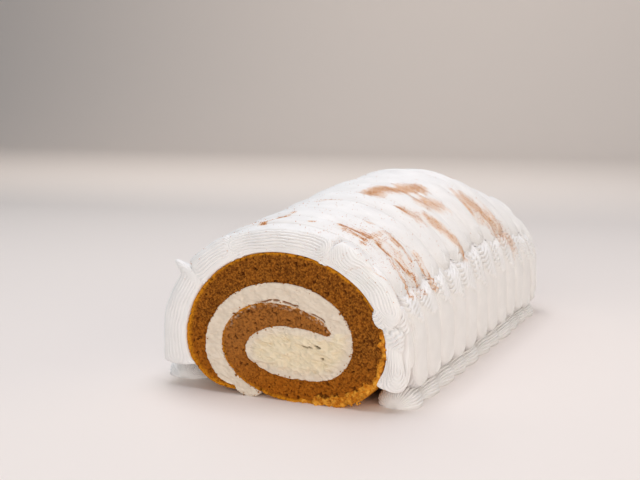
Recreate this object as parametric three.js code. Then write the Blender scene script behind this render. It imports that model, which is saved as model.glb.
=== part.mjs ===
// A swiss roll cake: one sheet of sponge and one layer of cream rolled up together and cut off
// square at both ends, under a coat of piped icing, with a piped border along each foot.
// Units are millimetres. +X is to the right of the front cut face, +Y runs along the roll away
// from that face, and +Z is up. The origin is the centre of the footprint.
import * as THREE from 'three';
import { mergeVertices } from 'three/addons/utils/BufferGeometryUtils.js';

// ---- Driving dimensions ----

const ROLL_LENGTH = 266;
const CLEARANCE = 0.3; // air between one solid and the next
const BELLY = 0.17; // the roll stands this share taller where it is fullest than at its cut ends
const BELLY_AT = 0.65; // where it is fullest, as a share of its length from the front
const SECTIONS = 14; // straight stretches along the roll, which its height follows

// The sponge sheet is seen edge on in the cut face. Each line of the spiral is named by the points
// [x, z] where it is lowest (B), furthest left (L), highest (T) and furthest right (R), starting
// at the sheet's loose outer end. The last point is only aimed at: the sheet stops short of it.
const TURNS = ['B', 'L', 'T', 'R', 'B', 'B', 'L', 'T', 'R'];
const SKIN = [
  ...[[-25, 2.5], [-51, 25], [-2, 69], [51, 27], [24, 0]], // the outer wrap
  ...[[6, 0], [-31.8, 24.5], [-5, 45.6], [27, 28]], // from its flat underside on, the inner wrap
];
const CRUMB = [
  ...[[-25, 5], [-40.2, 22.5], [-1, 54.8], [35.2, 29], [16, 10.9]],
  ...[[8, 10.9], [-18.8, 22.5], [2, 34.7], [30, 26]],
];
const SKIN_STOP = 0.68; // share of the last quarter turn that the sheet's skin side reaches
const CRUMB_STOP = 0.53; // the same on its cream side
const TIP = [25.2, 33.8]; // the rounded inner end of the sheet
const MOUTH = 0.3; // where the cream leaves the inner wrap, as a share of that quarter turn
const MOUTH_SAG = [[-13, 0], [-19, 0], [-22.5, 1.4]]; // cream that has sunk to the plate

// The icing's arches, each by the points where it is furthest right, highest and furthest left.
// Below its widest points an arch goes straight down.
const COAT = { right: [59.5, 27], top: [-2, 81.5], left: [-65.5, 25] };
const RIM = { right: [60.5, 27], top: [-1, 80.5], left: [-66.5, 25] };
const FOOT = { right: -15.5, left: 193 }; // degrees round an arch where its walls end

const STROKES = 12; // piped strokes side by side along the coat
const END_STROKE = 14; // how wide the first and the last of them are; the rest share what is left
const STROKE_PROUD = 2.2; // how far a stroke's crest stands out from the seams beside it
const FOLDS = [20, 160]; // degrees where the strokes over the top end on those up the walls
const FOLD_WIDTH = 7; // degrees

const RIM_DEPTH = 13; // how far a rim stroke reaches along the roll
const RIM_EDGE = 0.15; // a rim stroke's share of its full thickness where it meets the cut face
const RIM_SEAM = 0.88; // the same where it meets the first stroke of the coat
const RIM_PINCH = 0.22; // the share of its thickness that it loses towards its two ends
const PEAK = 5; // the pulled-up point at the upper end of the left stroke
const PEAK_WIDTH = 0.2; // as a share of that stroke's length
// Degrees round the face where each rim stroke starts and ends.
const RIM_STROKES = {
  side: [-15.5, 17],
  shoulder: [17, 61],
  top: [61, 117],
  slope: [117, 144],
  left: [144, 193],
};

// The borders: piped ruffles on the plate. A border stops short of both cut faces by `back`.
const BORDERS = {
  right: { centreX: 52.5, halfWidth: 10.5, height: 10.2, back: 8 },
  left: { centreX: -62, halfWidth: 13, height: 10.2, back: 15 },
};
const RUFFLES = 11;
const RUFFLE_PINCH = 0.28; // how much narrower a border is between two ruffles
const RUFFLE_END = 0.6; // the first and last ruffle's blunt end, as a share of the pinched width

const frontY = -ROLL_LENGTH / 2;
const backY = ROLL_LENGTH / 2;

// ---- Lines in the cut face ----

const START_ANGLE = { B: Math.PI * 1.5, L: Math.PI, T: Math.PI / 2, R: 0 };
const OUTWARD = { B: [0, -1], L: [-1, 0], T: [0, 1], R: [1, 0] };

/** Furthest points moved outwards by a distance, which gives the parallel line of the spiral. */
function moved(points, distance) {
  return points.map(([x, z], i) => {
    const [outX, outZ] = OUTWARD[TURNS[i]];
    return [x + outX * distance, z + outZ * distance];
  });
}

/** From one furthest point to the next: a quarter of an ellipse, or part of it, or a straight. */
function quarter(points, i, from, to) {
  const [x, z] = points[i];
  const [nextX, nextZ] = points[i + 1];
  if (TURNS[i] === TURNS[i + 1]) {
    return new THREE.LineCurve(new THREE.Vector2(x, z), new THREE.Vector2(nextX, nextZ)).getPoints(1);
  }
  const upright = TURNS[i] === 'B' || TURNS[i] === 'T';
  const centre = upright ? [x, nextZ] : [nextX, z];
  const radii = [Math.abs(nextX - x), Math.abs(nextZ - z)];
  const turned = (share) => START_ANGLE[TURNS[i]] - (share * Math.PI) / 2;
  return new THREE.EllipseCurve(...centre, ...radii, turned(from), turned(to), true).getPoints(5);
}

/** A line of the spiral from its quarter turn `first`, up to a share of the last one. */
function spiral(points, { first = 0, from = 0, stop }) {
  const line = [];
  const last = points.length - 2;
  for (let i = first; i <= last; i += 1) {
    const stretch = quarter(points, i, i === first ? from : 0, i === last ? stop : 1);
    line.push(...(i === first ? stretch : stretch.slice(1)));
  }
  return line;
}

/** The point of an arch at an angle from its middle. */
function onArch({ right, top, left }, degrees) {
  const [sideX, sideZ] = degrees < 90 ? right : left;
  const halfWidth = sideX - top[0];
  const angle = THREE.MathUtils.degToRad(degrees);
  if (Math.sin(angle) < 0) return new THREE.Vector2(sideX, sideZ + halfWidth * Math.tan(angle));
  const radius = 1 / Math.hypot(Math.cos(angle) / halfWidth, Math.sin(angle) / (top[1] - sideZ));
  return new THREE.Vector2(top[0] + radius * Math.cos(angle), sideZ + radius * Math.sin(angle));
}

// The inside of the icing is the sponge's outer wrap, a clearance further out.
const aroundSkin = moved(SKIN, CLEARANCE);
const INSIDE = { right: aroundSkin[3], top: aroundSkin[2], left: aroundSkin[1] };

/** A hump across a width: 0 at both ends, 1 in the middle, round like a piped bead. */
const bead = (share) => Math.sqrt(Math.max(0, 1 - (2 * share - 1) ** 2));

// ---- Solids ----

/** How many times its height in the cut faces the roll has at a share of its length. */
function fullness(share) {
  const station = Math.min(Math.floor(share * SECTIONS), SECTIONS - 1);
  const [before, after] = [station, station + 1].map((stop) => {
    const rising = THREE.MathUtils.smoothstep(stop / SECTIONS, 0, BELLY_AT);
    const falling = THREE.MathUtils.smoothstep(stop / SECTIONS, BELLY_AT, 1);
    return 1 + BELLY * rising * (1 - falling);
  });
  return THREE.MathUtils.lerp(before, after, share * SECTIONS - station);
}

/** The geometry as one welded skin, every vertex moved by change and then up by the fullness. */
function reshaped(geometry, change) {
  geometry.deleteAttribute('normal');
  geometry.deleteAttribute('uv');
  const welded = mergeVertices(geometry, 1e-3);
  const places = welded.getAttribute('position');
  const vertex = new THREE.Vector3();
  for (let i = 0; i < places.count; i += 1) {
    vertex.fromBufferAttribute(places, i);
    change(vertex);
    vertex.z *= fullness((vertex.y - frontY) / ROLL_LENGTH);
    places.setXYZ(i, vertex.x, vertex.y, vertex.z);
  }
  welded.computeVertexNormals();
  return welded;
}

/** An outline in the cut face drawn out in steps from Y = 0 to Y = 1. */
function drawnOut(outline, steps) {
  const settings = { depth: 1, steps, bevelEnabled: false };
  const geometry = new THREE.ExtrudeGeometry(new THREE.Shape(outline), settings);
  geometry.rotateX(Math.PI / 2);
  return geometry.translate(0, 1, 0);
}

/** A layer of the roll, from one cut face to the other. */
function rolledLayer(outline) {
  return reshaped(drawnOut(outline, SECTIONS), (vertex) => {
    vertex.y = THREE.MathUtils.lerp(frontY, backY, vertex.y);
  });
}

function sponge() {
  const skin = spiral(SKIN, { stop: SKIN_STOP });
  const crumb = spiral(CRUMB, { stop: CRUMB_STOP });
  return rolledLayer([...skin, new THREE.Vector2(...TIP), ...crumb.reverse()]);
}

function cream() {
  const outer = spiral(moved(CRUMB, -CLEARANCE), { stop: CRUMB_STOP });
  const innerWrap = TURNS.lastIndexOf('B');
  const inner = spiral(moved(SKIN, CLEARANCE), { first: innerWrap, from: MOUTH, stop: SKIN_STOP });
  const pastTip = new THREE.Vector2(TIP[0] + 2 * CLEARANCE, TIP[1]);
  const sag = MOUTH_SAG.map((point) => new THREE.Vector2(...point));
  return rolledLayer([...outer, pastTip, ...inner.reverse(), ...sag]);
}

/**
 * A slab of icing wrapped round the roll. The slab's X is counted in strokes, which alongRoll
 * turns into the place along the roll, and its Y is the degrees round the arch. Its lower face
 * becomes the inside of the icing, and its upper face the outside, which outside(degrees, count)
 * gives as a point in the cut face's plane.
 */
function wrapped({ strokes, degrees: [from, to], steps, alongRoll, outside }) {
  const slab = new THREE.BoxGeometry(strokes, to - from, 1, ...steps, 1);
  slab.translate(strokes / 2, (from + to) / 2, 0);
  return reshaped(slab, (vertex) => {
    const { x: count, y: degrees, z: depth } = vertex;
    const point = depth > 0 ? outside(degrees, count) : onArch(INSIDE, degrees);
    vertex.set(point.x, alongRoll(count), point.y);
  });
}

/** A point outside the roll, pushed straight out from the icing's inside by a distance. */
function proud(point, degrees, distance) {
  const out = point.clone().sub(onArch(INSIDE, degrees)).normalize();
  return point.addScaledVector(out, distance);
}

function coat() {
  const start = frontY + RIM_DEPTH + CLEARANCE;
  const end = backY - RIM_DEPTH - CLEARANCE;
  const alongRoll = (count) => {
    if (count <= 1) return start + count * END_STROKE;
    if (count >= STROKES - 1) return end - (STROKES - count) * END_STROKE;
    return THREE.MathUtils.mapLinear(count, 1, STROKES - 1, start + END_STROKE, end - END_STROKE);
  };
  const outside = (degrees, count) => {
    const fromFold = Math.min(...FOLDS.map((fold) => Math.abs(degrees - fold)));
    const height = STROKE_PROUD * bead(count % 1) * Math.min(1, fromFold / FOLD_WIDTH);
    return proud(onArch(COAT, degrees), degrees, height);
  };
  const degrees = [FOOT.right, FOOT.left];
  return wrapped({ strokes: STROKES, degrees, steps: [STROKES * 3, 20], alongRoll, outside });
}

function rimStroke(place, atFront) {
  const [fromDegrees, toDegrees] = RIM_STROKES[place];
  const seam = CLEARANCE / 2; // in degrees, where a degree round the arch is about a millimetre
  const start = atFront ? frontY : backY - RIM_DEPTH;
  const outside = (degrees, count) => {
    const share = (degrees - fromDegrees) / (toDegrees - fromDegrees);
    const fromFace = atFront ? count : 1 - count;
    const round = bead(fromFace);
    const least = fromFace < 0.5 ? RIM_EDGE : RIM_SEAM;
    const thickness = Math.max(least, round) * (1 - RIM_PINCH * (1 - bead(share)));
    const point = onArch(INSIDE, degrees).lerp(onArch(RIM, degrees), thickness);
    const peak = place === 'left' ? PEAK * round * Math.max(0, 1 - share / PEAK_WIDTH) : 0;
    return proud(point, degrees, peak);
  };
  return wrapped({
    strokes: 1,
    degrees: [fromDegrees + seam, toDegrees - seam],
    steps: [4, 7],
    alongRoll: (count) => start + count * RIM_DEPTH,
    outside,
  });
}

function border({ centreX, halfWidth, height, back }) {
  const halfEllipse = new THREE.EllipseCurve(0, 0, halfWidth, height, 0, Math.PI).getPoints(8);
  return reshaped(drawnOut(halfEllipse, RUFFLES * 3), (vertex) => {
    const end = vertex.y > 0 && vertex.y < 1 ? 1 : RUFFLE_END;
    const pinch = end * (1 - RUFFLE_PINCH * (1 - bead((vertex.y * RUFFLES) % 1)));
    vertex.x = vertex.x * pinch + centreX;
    vertex.z *= pinch;
    vertex.y = THREE.MathUtils.lerp(frontY + back, backY - back, vertex.y);
  });
}

// ---- The cake ----

const spongeBrown = new THREE.MeshStandardMaterial({ color: 0xa0661f, roughness: 0.9, metalness: 0 });
const creamIvory = new THREE.MeshStandardMaterial({ color: 0xeadfc8, roughness: 0.6, metalness: 0 });
const icingWhite = new THREE.MeshStandardMaterial({ color: 0xf4f1ee, roughness: 0.5, metalness: 0 });

const cake = new THREE.Group();

function add(name, geometry, material) {
  const mesh = new THREE.Mesh(geometry, material);
  mesh.name = name;
  cake.add(mesh);
}

add('sponge_roll', sponge(), spongeBrown);
add('cream_filling', cream(), creamIvory);
add('icing_coat', coat(), icingWhite);
for (const place of Object.keys(RIM_STROKES)) {
  add(`front_rim_${place}`, rimStroke(place, true), icingWhite);
  add(`back_rim_${place}`, rimStroke(place, false), icingWhite);
}
for (const [side, sizes] of Object.entries(BORDERS)) {
  add(`border_${side}`, border(sizes), icingWhite);
}

// The borders aren't equally wide, so the footprint's centre comes to the origin last.
const footprint = new THREE.Box3().setFromObject(cake).getCenter(new THREE.Vector3());
cake.position.set(-footprint.x, -footprint.y, 0);
const part = new THREE.Group();
part.add(cake);

export default part;
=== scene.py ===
# %% [markdown]
# # A swiss roll cake in piped icing
# The cake is a sheet of spiced sponge and a layer of cream rolled up together, cut off square at
# both ends, and covered with strokes of icing piped side by side. Cinnamon is dusted over the top.
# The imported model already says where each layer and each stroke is. This lesson loads it as a
# fixed frame and then builds the finely shaped surfaces that take the plain solids' places.
# Almost every surface here is made in the same way: numpy works out a whole grid of points from
# two parameters at once, and the grid becomes a mesh in one step.

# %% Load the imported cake
import math

import bpy
import numpy as np
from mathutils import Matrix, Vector


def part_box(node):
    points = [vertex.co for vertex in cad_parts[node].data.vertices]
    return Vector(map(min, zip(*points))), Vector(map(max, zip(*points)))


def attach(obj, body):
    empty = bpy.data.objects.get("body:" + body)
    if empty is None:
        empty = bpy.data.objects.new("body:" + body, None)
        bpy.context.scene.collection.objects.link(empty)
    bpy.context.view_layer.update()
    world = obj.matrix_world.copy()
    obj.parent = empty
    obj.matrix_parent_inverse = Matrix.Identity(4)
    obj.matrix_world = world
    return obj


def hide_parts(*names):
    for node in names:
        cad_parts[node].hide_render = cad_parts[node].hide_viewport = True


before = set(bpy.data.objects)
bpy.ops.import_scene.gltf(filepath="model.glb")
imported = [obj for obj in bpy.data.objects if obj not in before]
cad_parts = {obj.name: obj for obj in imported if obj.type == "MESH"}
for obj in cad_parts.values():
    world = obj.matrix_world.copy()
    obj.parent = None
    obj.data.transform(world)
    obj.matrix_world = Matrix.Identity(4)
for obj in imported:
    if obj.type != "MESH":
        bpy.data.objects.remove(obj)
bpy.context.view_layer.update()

# %% [markdown]
# ## Units and directions
# A cake is easier to think of in millimetres than in metres. In cake millimetres x runs to the
# right of the front cut face from the middle of the sponge, y runs back along the roll from that
# face, and z is the height above the plate. One small function turns them into the frame's metres.

# %% Cake millimetres
MM = 0.001  # one millimetre in metres
sponge_low, sponge_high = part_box("sponge_roll")
ROLL_LENGTH = (sponge_high.y - sponge_low.y) / MM
CAKE_ORIGIN = np.array([(sponge_low.x + sponge_high.x) / 2, sponge_low.y, 0.0])


def to_frame(points):
    """Cake millimetres as metres in the frame: scaled, then moved to where the sponge stands."""
    return np.asarray(points, float) * MM + CAKE_ORIGIN


print(f"The roll is {ROLL_LENGTH:.1f} mm long")

# %% [markdown]
# ## Camera, light and floor
# A camera is placed by where it stands and by the direction it looks in. Here that direction is
# two angles: how far it is turned from straight along the roll, and how far it dips.
# Icing is white on white, so only soft shadows show its ridges. A wide lamp overhead and a small one
# for a window behind on the left make them. Three weaker lamps stand for the light that a room gives
# back from the right and from the front, the last one warm, and one more lights the wall far behind.

# %% The camera
CAMERA_AT = (205.7, -413.6, 135.0)  # cake millimetres
CAMERA_TURN = 24.23  # degrees to the left of straight along the roll
CAMERA_DIP = 7.4  # degrees below level

turn, dip = math.radians(CAMERA_TURN), math.radians(CAMERA_DIP)
looking = Vector((-math.sin(turn) * math.cos(dip), math.cos(turn) * math.cos(dip), -math.sin(dip)))
camera_data = bpy.data.cameras.new("camera")
camera_data.sensor_width = 36
camera_data.lens = 57.6
camera_data.clip_end = 20
camera = bpy.data.objects.new("camera", camera_data)
camera.location = to_frame(CAMERA_AT)
camera.rotation_euler = looking.to_track_quat("-Z", "Y").to_euler()
bpy.context.scene.collection.objects.link(camera)
bpy.context.scene.camera = camera
print("Camera looks along", [round(v, 3) for v in looking])

# %% The light
scene = bpy.context.scene
scene.view_settings.view_transform = "Standard"
world = bpy.data.worlds.new("room")
world.use_nodes = True
world.node_tree.nodes["Background"].inputs["Color"].default_value = (0.80, 0.90, 1.0, 1)
world.node_tree.nodes["Background"].inputs["Strength"].default_value = 0.2
scene.world = world


def softbox(name, place, aim, size, watts, colour):
    """A square area lamp at a place in cake millimetres, turned to shine at another place."""
    lamp = bpy.data.lights.new(name, "AREA")
    lamp.size = size
    lamp.energy = watts
    lamp.color = colour
    stand = bpy.data.objects.new(name, lamp)
    stand.location = to_frame(place)
    stand.rotation_euler = Vector(np.subtract(aim, place)).to_track_quat("-Z", "Y").to_euler()
    scene.collection.objects.link(stand)


CAKE_MIDDLE = (0, ROLL_LENGTH / 2, 40)
softbox("window", (-700, 700, 1100), CAKE_MIDDLE, 0.8, 3.2, (0.98, 1.0, 0.94))
softbox("ceiling", (0, 130, 1400), CAKE_MIDDLE, 1.0, 12.2, (0.93, 0.93, 1.0))
softbox("right_bounce", (1300, 200, 420), CAKE_MIDDLE, 1.0, 4.9, (1.0, 0.96, 0.82))
softbox("front_bounce", (-150, -1300, 500), CAKE_MIDDLE, 1.0, 6.6, (0.98, 1.0, 0.96))
softbox("front_right", (950, -950, 350), CAKE_MIDDLE, 1.0, 6.8, (1.0, 0.80, 0.68))
softbox("backdrop", (-900, 1200, 1500), (-1100, 3000, 900), 2.0, 21.0, (1.0, 0.93, 0.85))

# %% [markdown]
# The floor is one smooth sheet: flat under the cake, then bent up far behind it as a wall, so that
# no edge shows between the two. Its section is a line, a quarter circle and a line.


# %% Meshes from arrays
def grid_triangles(rows, columns, closed=False):
    """Two triangles for each cell of a grid of vertices. Closed joins the last column to the first."""
    index = np.arange(rows * columns).reshape(rows, columns)
    if closed:
        index = np.concatenate([index, index[:, :1]], axis=1)
    a, b, c, d = index[:-1, :-1], index[:-1, 1:], index[1:, 1:], index[1:, :-1]
    cells = np.stack([a, b, c, a, c, d], axis=-1)
    return cells.reshape(-1, 3)


def mesh_object(name, points, triangles, material, fields=None):
    """A smooth shaded mesh object from frame points, triangles and one float per vertex per field."""
    mesh = bpy.data.meshes.new(name)
    mesh.vertices.add(len(points))
    mesh.vertices.foreach_set("co", np.asarray(points, np.float32).ravel())
    mesh.loops.add(triangles.size)
    mesh.loops.foreach_set("vertex_index", triangles.ravel().astype(np.int32))
    mesh.polygons.add(len(triangles))
    mesh.polygons.foreach_set("loop_start", np.arange(0, triangles.size, 3, dtype=np.int32))
    mesh.update(calc_edges=True)
    mesh.polygons.foreach_set("use_smooth", np.ones(len(triangles), bool))
    for field, values in (fields or {}).items():
        layer = mesh.attributes.new(field, "FLOAT", "POINT")
        layer.data.foreach_set("value", np.asarray(values, np.float32).ravel())
    mesh.materials.append(material)
    made = bpy.data.objects.new(name, mesh)
    scene.collection.objects.link(made)
    return made


# %% The floor
floor_material = bpy.data.materials.new("pale_floor")
floor_material.use_nodes = True
floor_shader = floor_material.node_tree.nodes["Principled BSDF"]
floor_shader.inputs["Base Color"].default_value = (0.84, 0.77, 0.73, 1)
floor_shader.inputs["Roughness"].default_value = 0.6

FLOOR_FRONT, FLOOR_BACK, BEND, WALL_TOP, HALF_WIDTH = -1.6, 2.2, 0.9, 3.2, 4.0  # metres
bend_angle = np.linspace(0, math.pi / 2, 24)
section_y = np.concatenate([[FLOOR_FRONT], FLOOR_BACK + BEND * np.sin(bend_angle), [FLOOR_BACK + BEND]])
section_z = np.concatenate([[0], BEND * (1 - np.cos(bend_angle)), [WALL_TOP]])
side = np.array([-HALF_WIDTH, HALF_WIDTH])
floor_points = np.stack([
    np.broadcast_to(side, (len(section_y), 2)),
    np.broadcast_to(section_y[:, None], (len(section_y), 2)),
    np.broadcast_to(section_z[:, None], (len(section_y), 2)),
], axis=-1)
floor_triangles = grid_triangles(len(section_y), 2)
floor = mesh_object("floor", floor_points.reshape(-1, 3), floor_triangles, floor_material)

# %% [markdown]
# ## Small tools for shaping
# Hand made food is never even. Value noise gives that: random heights on a square grid with smooth
# blends between them. Pores are round pits, one thrown at random into each cell of a grid.
# Ridges come from the teeth of the piping nozzle: rounded crests with sharp grooves between.


# %% Smooth steps, noise, pores and ridges
def smooth_step(value, start, end):
    """0 until start, 1 from end on, and 3t^2 - 2t^3 in between, t being the share of the way."""
    t = np.clip((value - start) / (end - start), 0, 1)
    return t * t * (3 - 2 * t)


def noise(x, y, seed):
    """Value noise from -1 to 1 whose grid is one unit wide."""
    table = np.random.default_rng(seed).uniform(-1, 1, (128, 128))
    x, y = np.broadcast_arrays(x, y)
    column, row = np.floor(x).astype(int), np.floor(y).astype(int)
    across, up = smooth_step(x - column, 0, 1), smooth_step(y - row, 0, 1)
    left, right, low, high = column % 128, (column + 1) % 128, row % 128, (row + 1) % 128
    lower = table[left, low] * (1 - across) + table[right, low] * across
    upper = table[left, high] * (1 - across) + table[right, high] * across
    return lower * (1 - up) + upper * up


def pores(x, y, spacing, smallest, largest, seed):
    """How deep in a pit a point is, 0 to 1: the greatest sqrt(1 - (distance / radius)^2) of the pits
    near it."""
    random = np.random.default_rng(seed)
    jitter = random.uniform(0.1, 0.9, (128, 128, 2))
    radius = random.uniform(smallest, largest, (128, 128))
    column, row = np.floor(x / spacing).astype(int), np.floor(y / spacing).astype(int)
    deepest = np.zeros(np.shape(x))
    for right in (-1, 0, 1):
        for up in (-1, 0, 1):
            i, j = (column + right) % 128, (row + up) % 128
            gap_x = x - (column + right + jitter[i, j, 0]) * spacing
            gap_y = y - (row + up + jitter[i, j, 1]) * spacing
            share = (gap_x**2 + gap_y**2) / radius[i, j] ** 2
            deepest = np.maximum(deepest, np.sqrt(np.clip(1 - share, 0, 1)))
    return deepest


def ridges(phase):
    """One ridge for each whole number of phase: |sin(pi phase)|, from -1 in a groove to 1 on a crest."""
    return 2 * np.abs(np.sin(math.pi * phase)) ** 0.8 - 1


def bead(share):
    """The round section of a piped bead: sqrt(1 - share^2), for a share from -1 to 1 of its half width."""
    return np.sqrt(np.clip(1 - np.square(share), 0, 1))


# %% [markdown]
# ## Finished pieces
# A piped stroke, the sheet of sponge and a border are all closed tubes: rings of points one after
# the other, and a lid on the first and the last ring. Welding the points that fall on the same
# spot closes seams and poles. The sign of the volume tells whether the faces point outwards.


# %% Closed tubes and finished pieces
def tube(rings):
    """Points and triangles of a tube through rings of points [ring, point, xyz], with a lid at each end."""
    count, around = rings.shape[:2]
    points = np.concatenate([rings.reshape(-1, 3), rings[:1].mean(1), rings[-1:].mean(1)])
    first = np.arange(around)
    after = np.roll(first, -1)
    last = first + (count - 1) * around
    front_lid = np.stack([after, first, np.full(around, count * around)], axis=-1)
    back_lid = np.stack([last, np.roll(last, -1), np.full(around, count * around + 1)], axis=-1)
    return points, np.concatenate([grid_triangles(count, around, True), front_lid, back_lid])


def welded(points, triangles):
    """The same surface with points closer than a thousandth of a millimetre made one. Triangles that have
    shrunk to a line go, and so do pairs of triangles that now lie back to back on the same three points."""
    keys = np.round(points, 3)
    _, first, number = np.unique(keys, axis=0, return_index=True, return_inverse=True)
    triangles = number.reshape(-1)[triangles]
    whole = ((triangles[:, 0] != triangles[:, 1]) & (triangles[:, 1] != triangles[:, 2])
             & (triangles[:, 2] != triangles[:, 0]))
    triangles = triangles[whole]
    _, number, times = np.unique(
        np.sort(triangles, axis=1), axis=0, return_inverse=True, return_counts=True)
    return first, triangles[times[number.reshape(-1)] == 1]


def volume(points, triangles):
    """The volume inside a closed surface: a sixth of the sum of a . (b x c) over its triangles."""
    a, b, c = (points[triangles[:, k]] for k in range(3))
    return np.einsum("ij,ij->i", a, np.cross(b, c)).sum() / 6


finished_sizes = []


def finished(name, points, triangles, material, nodes, fields=None):
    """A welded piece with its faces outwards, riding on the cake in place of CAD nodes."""
    kept, triangles = welded(points, triangles)
    points = points[kept]
    if volume(points, triangles) < 0:
        triangles = triangles[:, ::-1]
    fields = {field: np.asarray(values).ravel()[kept] for field, values in (fields or {}).items()}
    piece = mesh_object(name, to_frame(points), triangles, material, fields)
    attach(piece, "root")
    if nodes:
        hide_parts(*nodes)
    finished_sizes.append(len(triangles))
    print(f"{name}: {len(triangles)} triangles, {abs(volume(points, triangles)) / 1000:.1f} cm3")


# %% [markdown]
# ## The roll's height
# The cake isn't a perfect log. It stands a little taller behind its middle than at its cut ends, so
# every height is multiplied by the roll's fullness at that place along it.

# %% Fullness
BELLY = 0.17  # how much taller the roll is where it is fullest, as a share
BELLY_AT = 0.65  # where that is, as a share of its length


def fullness(y):
    """1 at both cut faces and 1 + BELLY at the fullest place, with smooth steps up and down."""
    share = np.clip(y / ROLL_LENGTH, 0, 1)
    return 1 + BELLY * smooth_step(share, 0, BELLY_AT) * (1 - smooth_step(share, BELLY_AT, 1))


def raised(x, y, z):
    """Points of the given x and y whose height z is multiplied by the roll's fullness there."""
    x, y, z = np.broadcast_arrays(x, y, z)
    return np.stack([x, y, z * fullness(y)], axis=-1)


# %% [markdown]
# ## The spiral of the sheet
# Seen in the cut face, each side of the sheet is a spiral. It is enough to name the points where it
# is lowest, furthest left, highest and furthest right: a quarter of an ellipse joins each to the
# next. Two such spirals, the skin side and the crumb side, hold the sponge between them.

# %% The two sides of the sheet
TURNS = "BLTRBBLTR"  # bottom, left, top, right: the outer wrap, a flat underside, the inner wrap
SKIN = [(-25, 2.5), (-51, 25), (-2, 69), (51, 27), (24, 0), (6, 0), (-31.8, 24.5), (-5, 45.6), (27, 28)]
CRUMB = [
    (-25, 5), (-40.2, 22.5), (-1, 54.8), (35.2, 29), (16, 10.9), (8, 10.9), (-18.8, 22.5), (2, 34.7),
    (30, 26)]
SKIN_STOP, CRUMB_STOP = 0.68, 0.53  # shares of the last quarter turn that the two sides reach
TIP = np.array([25.2, 33.8])  # the rounded inner end of the sheet
FIRST_ANGLE = {"B": 1.5 * math.pi, "L": math.pi, "T": 0.5 * math.pi, "R": 0.0}


def spiral(corners, place):
    """x and z at a place along a spiral: its whole part says which stretch, its fraction how far along.

    A stretch is centre + radii * (cos, sin) of an angle that falls by a quarter turn, or a line."""
    corners = np.array(corners, float)
    stretch = np.clip(np.floor(place).astype(int), 0, len(corners) - 2)
    share = place - stretch
    here, there = corners[stretch], corners[stretch + 1]
    upright = np.array([turn in "BT" for turn in TURNS])[stretch]
    straight = np.array([a == b for a, b in zip(TURNS, TURNS[1:])])[stretch]
    centre = np.where(upright[..., None], np.stack([here[..., 0], there[..., 1]], -1),
                      np.stack([there[..., 0], here[..., 1]], -1))
    angle = np.array([FIRST_ANGLE[turn] for turn in TURNS])[stretch] - share * math.pi / 2
    curve = centre + np.abs(there - here) * np.stack([np.cos(angle), np.sin(angle)], -1)
    line = here + (there - here) * share[..., None]
    return np.where(straight[..., None], line, curve)


def evenly(place, points, count):
    """Places along a line that lie at equal distances, by its running length."""
    length = np.concatenate([[0], np.cumsum(np.linalg.norm(np.diff(points, axis=0), axis=1))])
    return np.interp(np.linspace(0, length[-1], count), length, place), length[-1]


LAST = len(TURNS) - 2  # where the last quarter turn starts


def sheet_sides(place):
    """The skin side and the crumb side of the sheet at a place, each slowed to stop at its own end."""
    past = np.clip(place - LAST, 0, 1)
    skin = spiral(SKIN, np.minimum(place, LAST) + past * SKIN_STOP)
    crumb = spiral(CRUMB, np.minimum(place, LAST) + past * CRUMB_STOP)
    return skin, crumb


dense = np.linspace(0, LAST + 1, 4000)
dense_skin, dense_crumb = sheet_sides(dense)
_, sheet_length = evenly(dense, (dense_skin + dense_crumb) / 2, 2)
print(f"The sheet is {sheet_length:.0f} mm long before it is rolled up")

# %% [markdown]
# ## Sponge, cream and icing as materials
# Each finish starts from one shader. Fields kept on the vertices, such as how deep a pore is or how
# much cinnamon lies there, are read by Attribute nodes, and noise on Object coordinates adds what
# is finer than the mesh.


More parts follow.
